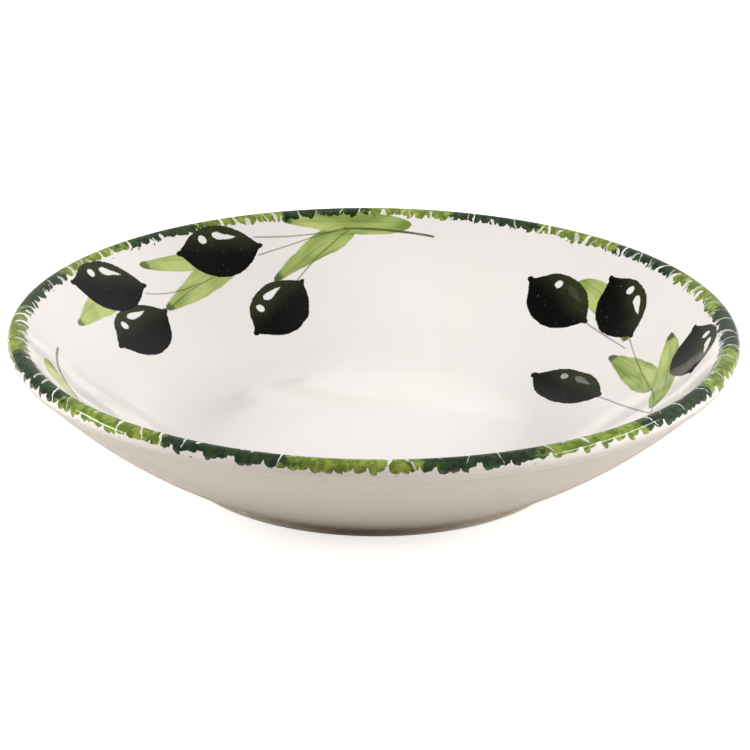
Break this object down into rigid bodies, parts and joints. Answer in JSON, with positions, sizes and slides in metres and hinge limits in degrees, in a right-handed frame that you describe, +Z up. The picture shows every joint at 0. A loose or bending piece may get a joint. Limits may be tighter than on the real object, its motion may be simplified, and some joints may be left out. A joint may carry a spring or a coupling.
{
  "type": "dinner bowl",
  "caption": "Wide shallow glazed dinner bowl with a rolled lip, a short collar, one curved wall, a soft-edged well and a low foot ring left bare where it stands.",
  "frame": {"origin": "on the bowl's axis, in the plane of the foot ring's resting edge", "axes": "+Z up along the bowl's axis, -Y towards the side that the picture shows in front"},
  "size_m": [0.23, 0.23, 0.0465],
  "materials": {
    "fired_clay": "matt fired clay, bare on the foot's edge",
    "white_glaze": "glossy warm white glaze"
  },
  "bodies": {
    "root": {"clay_body": "fired_clay", "glaze_coat": "white_glaze", "foot_glaze": "white_glaze"}
  },
  "joints": []
}
